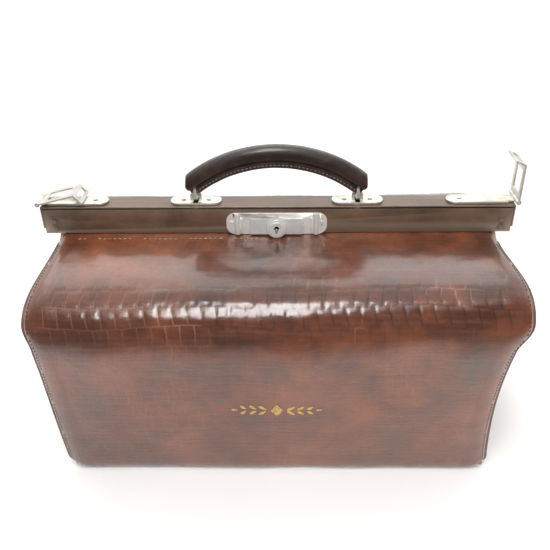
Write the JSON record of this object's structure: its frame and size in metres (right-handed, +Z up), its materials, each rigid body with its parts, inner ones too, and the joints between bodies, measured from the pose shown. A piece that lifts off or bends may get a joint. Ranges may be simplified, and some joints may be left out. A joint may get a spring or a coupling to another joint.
{
  "type": "doctor bag",
  "caption": "Gladstone-style doctor's bag in crocodile-grained leather with a hinged steel mouth frame, sliding nozzle lock, end clips and a swinging handle.",
  "frame": {"origin": "middle of the underside of the base", "axes": "+X along the frame towards the right-hand clip, -Y towards the lock side, +Z up"},
  "size_m": [0.434, 0.2284, 0.287],
  "materials": {
    "croc_leather": "polished, worn, crocodile-embossed",
    "base_board": "raw fibreboard",
    "lining_cloth": "aged cotton",
    "frame_enamel": "worn brown enamel",
    "nickel": "aged nickel plate",
    "steel": "dull steel",
    "handle_leather": "dark stitched leather",
    "key_pin": "blackened"
  },
  "bodies": {
    "bag_body": {"base_panel": "croc_leather", "base_board": "base_board", "lining": "lining_cloth", "front_panel": "croc_leather", "rear_panel": "croc_leather", "left_gusset": "croc_leather", "right_gusset": "croc_leather", "front_shoulder": "croc_leather", "rear_shoulder": "croc_leather", "left_front_wing": "croc_leather", "left_rear_wing": "croc_leather", "right_front_wing": "croc_leather", "right_rear_wing": "croc_leather", "left_hinge_pin": "steel", "right_hinge_pin": "steel"},
    "front_frame": {"front_frame_bar": "frame_enamel", "front_left_leg": "steel", "front_right_leg": "steel", "front_left_lower_rivet": "steel", "front_left_upper_rivet": "steel", "front_right_lower_rivet": "steel", "front_right_upper_rivet": "steel", "lock_plate": "nickel", "lock_case": "steel", "lock_spring": "steel", "lock_lever": "steel", "lock_lever_stud": "steel", "lock_left_rivet": "nickel", "lock_right_rivet": "nickel"},
    "lock_slide": {"lock_slide_plate": "nickel", "lock_nozzle": "nickel", "lock_key_pin": "key_pin", "lock_bolt": "steel"},
    "rear_frame": {"rear_frame_bar": "frame_enamel", "rear_left_leg": "steel", "rear_right_leg": "steel", "rear_left_lower_rivet": "steel", "rear_left_upper_rivet": "steel", "rear_right_lower_rivet": "steel", "rear_right_upper_rivet": "steel", "lock_catch": "steel", "handle_left_plate": "nickel", "handle_right_plate": "nickel", "handle_left_outer_rivet": "steel", "handle_left_inner_rivet": "steel", "handle_right_outer_rivet": "steel", "handle_right_inner_rivet": "steel", "left_clip_plate": "nickel", "left_clip_pin": "steel", "left_clip_rivet": "steel", "right_clip_plate": "nickel", "right_clip_pin": "steel", "right_clip_rivet": "steel"},
    "handle": {"handle_cover": "handle_leather", "handle_core": "base_board", "handle_left_ring": "nickel", "handle_right_ring": "nickel"},
    "left_clip": {"left_clip_loop": "nickel"},
    "right_clip": {"right_clip_loop": "nickel"}
  },
  "joints": [
    {"name": "front_frame_hinge", "type": "hinge", "parent": "bag_body", "child": "front_frame", "pos_m": [0, 0, 0.12], "axis": [1, 0, 0], "range_deg": [0, 50], "deforming": ["front_shoulder", "left_front_wing", "right_front_wing"]},
    {"name": "rear_frame_hinge", "type": "hinge", "parent": "bag_body", "child": "rear_frame", "pos_m": [0, 0, 0.12], "axis": [-1, 0, 0], "range_deg": [0, 50], "deforming": ["rear_shoulder", "left_rear_wing", "right_rear_wing"]},
    {"name": "handle_swing", "type": "hinge", "parent": "rear_frame", "child": "handle", "pos_m": [0, 0, 0.24], "axis": [1, 0, 0], "range_deg": [-65, 65]},
    {"name": "lock_slide_travel", "type": "slide", "parent": "front_frame", "child": "lock_slide", "axis": [1, 0, 0], "range_m": [0, 0.006], "stiffness_N_per_m": 150, "springref_m": -0.004, "deforming": ["lock_spring"]},
    {"name": "left_clip_swing", "type": "hinge", "parent": "rear_frame", "child": "left_clip", "pos_m": [-0.2148, 0, 0.236], "axis": [0, -1, 0], "range_deg": [0, 252]},
    {"name": "right_clip_swing", "type": "hinge", "parent": "rear_frame", "child": "right_clip", "pos_m": [0.2148, 0, 0.236], "axis": [0, 1, 0], "range_deg": [-75.5, 177]}
  ]
}
